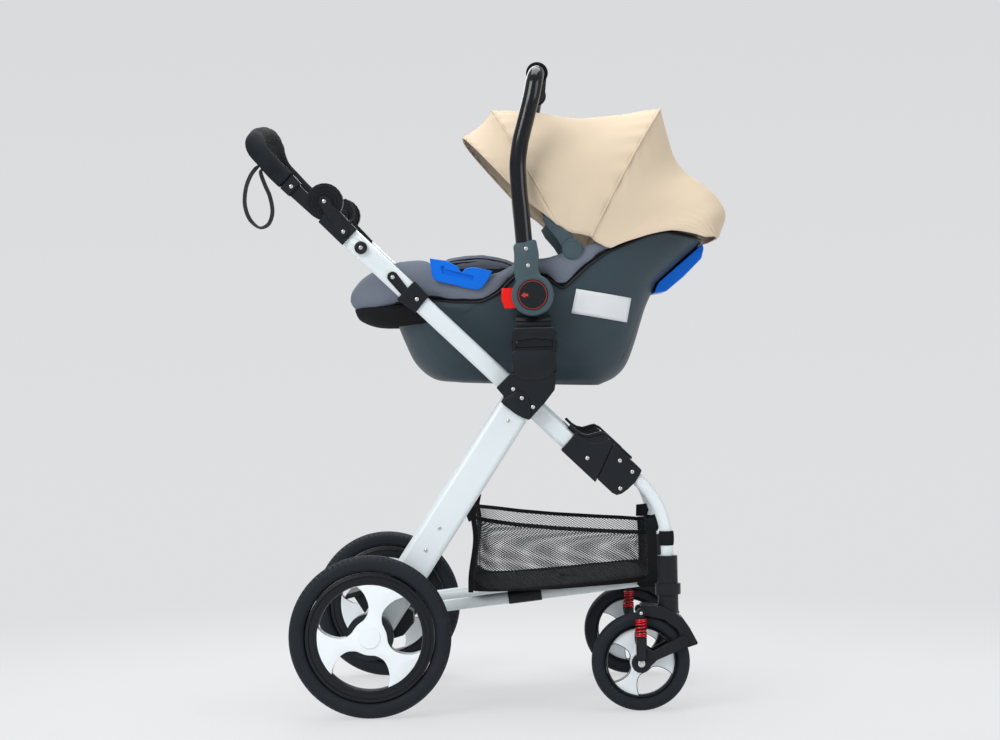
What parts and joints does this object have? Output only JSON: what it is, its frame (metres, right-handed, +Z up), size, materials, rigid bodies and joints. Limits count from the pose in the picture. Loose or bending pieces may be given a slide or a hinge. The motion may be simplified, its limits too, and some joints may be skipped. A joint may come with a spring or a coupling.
{
  "type": "travel system stroller",
  "caption": "Folding pushchair chassis with large rear wheels and swivelling front casters, carrying a docked infant carrier with a padded liner, a carry handle and a canopy.",
  "frame": {"origin": "on the floor, under the middle of the overall length and width", "axes": "+X forward, from the push handle towards the front casters; +Y to the left side; +Z up"},
  "size_m": [0.8624, 0.608, 1.1703],
  "materials": {
    "white_coat": "satin white powder coat",
    "black_plastic": "fine-grained black moulding",
    "gloss_black": "polished black moulding",
    "slate_plastic": "grained slate moulding",
    "grip_foam": "closed-cell foam",
    "tyre_rubber": "matt black tread",
    "wheel_white": "white moulding",
    "spring_red": "red lacquered wire",
    "button_red": "red moulding",
    "guide_blue": "blue moulding",
    "beige_fabric": "woven canopy cloth",
    "grey_fabric": "padded woven cloth",
    "black_mesh": "black cloth and netting",
    "webbing": "black webbing",
    "cable_sheath": "black cable sheath"
  },
  "bodies": {
    "frame": {"side_tube_right": "white_coat", "side_tube_left": "white_coat", "tube_collar_right": "black_plastic", "tube_collar_left": "black_plastic", "hub_right": "black_plastic", "hub_left": "black_plastic", "seat_adapter_right": "black_plastic", "seat_adapter_left": "black_plastic", "upper_fold_housing_right": "black_plastic", "upper_fold_housing_left": "black_plastic", "handle_socket_right": "black_plastic", "handle_socket_left": "black_plastic", "release_cable": "cable_sheath"},
    "handle": {"handle_frame": "black_plastic", "handle_foam": "grip_foam", "wrist_strap": "webbing"},
    "handle_button_right": {"handle_button_right": "black_plastic"},
    "handle_button_left": {"handle_button_left": "black_plastic"},
    "adapter_button_right": {"adapter_button_right": "gloss_black"},
    "adapter_button_left": {"adapter_button_left": "gloss_black"},
    "front_frame": {"lower_fold_housing_right": "black_plastic", "lower_fold_housing_left": "black_plastic", "front_leg_right": "white_coat", "front_leg_left": "white_coat", "front_crossmember": "black_plastic"},
    "fold_latch_right": {"fold_latch_right": "black_plastic"},
    "fold_latch_left": {"fold_latch_left": "black_plastic"},
    "caster_right": {"caster_fork_right": "black_plastic", "suspension_spring_right": "spring_red"},
    "caster_left": {"caster_fork_left": "black_plastic", "suspension_spring_left": "spring_red"},
    "swing_right": {"swing_arm_right": "black_plastic"},
    "swing_left": {"swing_arm_left": "black_plastic"},
    "front_wheel_right": {"front_wheel_right": "wheel_white", "front_tyre_right": "tyre_rubber"},
    "front_wheel_left": {"front_wheel_left": "wheel_white", "front_tyre_left": "tyre_rubber"},
    "rear_frame": {"rear_leg_right": "white_coat", "rear_leg_left": "white_coat", "rear_axle": "black_plastic"},
    "brake": {"brake_pedal": "black_plastic"},
    "rear_wheel_right": {"rear_wheel_right": "wheel_white", "rear_tyre_right": "tyre_rubber"},
    "rear_wheel_left": {"rear_wheel_left": "wheel_white", "rear_tyre_left": "tyre_rubber"},
    "lower_frame": {"lower_bars": "white_coat", "basket": "black_mesh"},
    "carrier": {"carrier_shell": "slate_plastic", "seat_liner": "grey_fabric", "harness": "webbing", "side_belt_guide_right": "guide_blue", "side_belt_guide_left": "guide_blue", "rear_belt_guide": "guide_blue", "canopy_rear": "beige_fabric"},
    "carry_handle": {"carry_handle": "gloss_black"},
    "carry_button_right": {"carry_button_right": "button_red"},
    "carry_button_left": {"carry_button_left": "button_red"},
    "canopy_middle": {"canopy_middle": "beige_fabric"},
    "canopy_front": {"canopy_front": "beige_fabric", "canopy_bow": "slate_plastic"}
  },
  "joints": [
    {"name": "frame_fold", "type": "hinge", "parent": "frame", "child": "front_frame", "pos_m": [0.21932, 0, 0.39226], "axis": [0, 1, 0], "range_deg": [0, 90]},
    {"name": "rear_leg_fold", "type": "hinge", "parent": "frame", "child": "rear_frame", "pos_m": [0.053, 0, 0.554], "axis": [0, 1, 0], "range_deg": [0, 50]},
    {"name": "lower_bar_fold", "type": "hinge", "parent": "rear_frame", "child": "lower_frame", "pos_m": [-0.158, 0, 0.169], "axis": [0, 1, 0], "range_deg": [-26, 0], "deforming": ["basket"]},
    {"name": "handle_turn", "type": "hinge", "parent": "frame", "child": "handle", "pos_m": [-0.28855, 0, 0.90778], "axis": [0, 1, 0], "range_deg": [-40, 40]},
    {"name": "handle_button_right_press", "type": "slide", "parent": "frame", "child": "handle_button_right", "axis": [0, -1, 0], "range_m": [0, 0.002], "stiffness_N_per_m": 400, "springref_m": -0.002},
    {"name": "handle_button_left_press", "type": "slide", "parent": "frame", "child": "handle_button_left", "axis": [0, 1, 0], "range_m": [0, 0.002], "stiffness_N_per_m": 400, "springref_m": -0.002},
    {"name": "adapter_button_right_press", "type": "slide", "parent": "frame", "child": "adapter_button_right", "axis": [0, 1, 0], "range_m": [0, 0.004], "stiffness_N_per_m": 400, "springref_m": -0.002},
    {"name": "adapter_button_left_press", "type": "slide", "parent": "frame", "child": "adapter_button_left", "axis": [0, -1, 0], "range_m": [0, 0.004], "stiffness_N_per_m": 400, "springref_m": -0.002},
    {"name": "fold_latch_right_lift", "type": "slide", "parent": "front_frame", "child": "fold_latch_right", "axis": [0.6972, 0, 0.7169], "range_m": [0, 0.006], "stiffness_N_per_m": 400, "springref_m": -0.003},
    {"name": "fold_latch_left_lift", "type": "slide", "parent": "front_frame", "child": "fold_latch_left", "axis": [0.6972, 0, 0.7169], "range_m": [0, 0.006], "stiffness_N_per_m": 400, "springref_m": -0.003},
    {"name": "caster_right_swivel", "type": "hinge", "parent": "front_frame", "child": "caster_right", "pos_m": [0.303, -0.25, 0.2], "axis": [0, 0, 1], "continuous": true},
    {"name": "caster_left_swivel", "type": "hinge", "parent": "front_frame", "child": "caster_left", "pos_m": [0.303, 0.25, 0.2], "axis": [0, 0, 1], "continuous": true},
    {"name": "swing_right_bump", "type": "hinge", "parent": "caster_right", "child": "swing_right", "pos_m": [0.326, -0.25, 0.123], "axis": [0, 1, 0], "range_deg": [0, 8], "stiffness_Nm_per_rad": 40, "springref_deg": -8.02, "deforming": ["suspension_spring_right"]},
    {"name": "swing_left_bump", "type": "hinge", "parent": "caster_left", "child": "swing_left", "pos_m": [0.326, 0.25, 0.123], "axis": [0, 1, 0], "range_deg": [0, 8], "stiffness_Nm_per_rad": 40, "springref_deg": -8.02, "deforming": ["suspension_spring_left"]},
    {"name": "front_wheel_right_spin", "type": "hinge", "parent": "swing_right", "child": "front_wheel_right", "pos_m": [0.2525, -0.25, 0.0865], "axis": [0, 1, 0], "continuous": true},
    {"name": "front_wheel_left_spin", "type": "hinge", "parent": "swing_left", "child": "front_wheel_left", "pos_m": [0.2525, 0.25, 0.0865], "axis": [0, 1, 0], "continuous": true},
    {"name": "brake_press", "type": "hinge", "parent": "rear_frame", "child": "brake", "pos_m": [-0.221, 0, 0.1425], "axis": [0, 1, 0], "range_deg": [-15, 0]},
    {"name": "rear_wheel_right_spin", "type": "hinge", "parent": "rear_frame", "child": "rear_wheel_right", "pos_m": [-0.221, -0.283, 0.1425], "axis": [0, 1, 0], "continuous": true},
    {"name": "rear_wheel_left_spin", "type": "hinge", "parent": "rear_frame", "child": "rear_wheel_left", "pos_m": [-0.221, 0.283, 0.1425], "axis": [0, 1, 0], "continuous": true},
    {"name": "carrier_lift", "type": "slide", "parent": "frame", "child": "carrier", "axis": [0, 0, 1], "range_m": [0, 0.35]},
    {"name": "carry_handle_turn", "type": "hinge", "parent": "carrier", "child": "carry_handle", "pos_m": [0.076, 0, 0.735], "axis": [0, 1, 0], "range_deg": [-55, 18]},
    {"name": "carry_button_right_press", "type": "slide", "parent": "carry_handle", "child": "carry_button_right", "axis": [1, 0, 0], "range_m": [0, 0.005], "stiffness_N_per_m": 400, "springref_m": -0.003},
    {"name": "carry_button_left_press", "type": "slide", "parent": "carry_handle", "child": "carry_button_left", "axis": [1, 0, 0], "range_m": [0, 0.005], "stiffness_N_per_m": 400, "springref_m": -0.003},
    {"name": "canopy_middle_turn", "type": "hinge", "parent": "carrier", "child": "canopy_middle", "pos_m": [0.148, 0, 0.816], "axis": [0, 1, 0], "range_deg": [0, 26], "deforming": ["canopy_rear"]},
    {"name": "canopy_bow_turn", "type": "hinge", "parent": "canopy_middle", "child": "canopy_front", "pos_m": [0.148, 0, 0.816], "axis": [0, 1, 0], "range_deg": [0, 30], "deforming": ["canopy_middle"]}
  ],
  "couplings": [
    {"joint": "rear_leg_fold", "follows": "frame_fold", "ratio": 0.532},
    {"joint": "lower_bar_fold", "follows": "frame_fold", "ratio": -0.268},
    {"joint": "canopy_middle_turn", "follows": "canopy_bow_turn", "ratio": 0.82}
  ]
}
